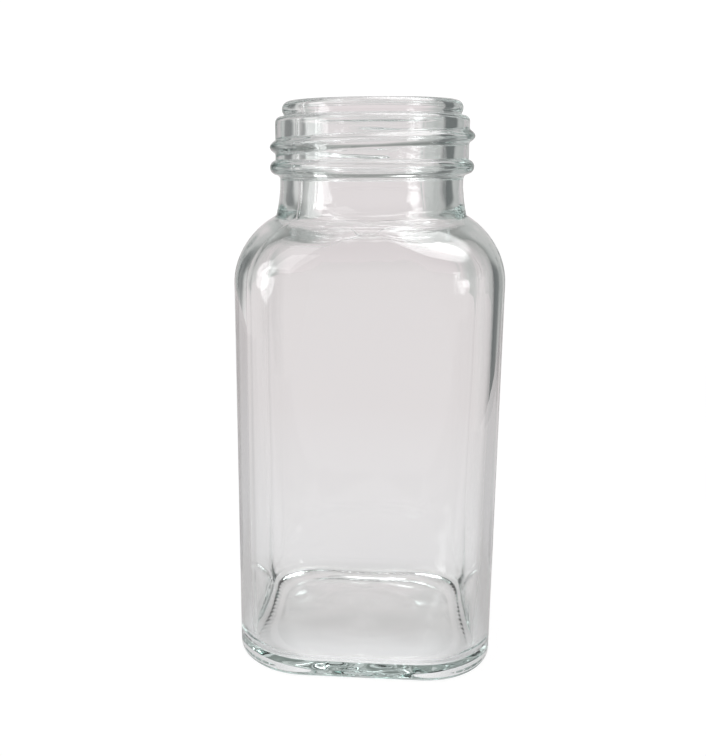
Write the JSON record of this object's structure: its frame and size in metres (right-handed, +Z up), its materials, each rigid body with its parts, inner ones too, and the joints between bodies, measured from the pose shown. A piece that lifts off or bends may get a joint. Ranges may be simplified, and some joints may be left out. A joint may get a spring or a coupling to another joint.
{
  "type": "spice jar",
  "caption": "Square clear glass spice jar with rounded corners, curved shoulders, a round neck and an open screw-thread mouth for a cap and a shaker insert.",
  "frame": {"origin": "middle of the flat face round the base that the jar stands on", "axes": "+Z up along the jar's axis, out of the mouth; -Y towards the front face; the flats of the body face the X and Y axes"},
  "size_m": [0.054, 0.054, 0.116],
  "materials": {
    "clear_glass": "smooth fire-polished clear soda-lime glass with a faint green tint in its thick parts"
  },
  "bodies": {
    "root": {"glass_jar": "clear_glass"}
  },
  "joints": []
}
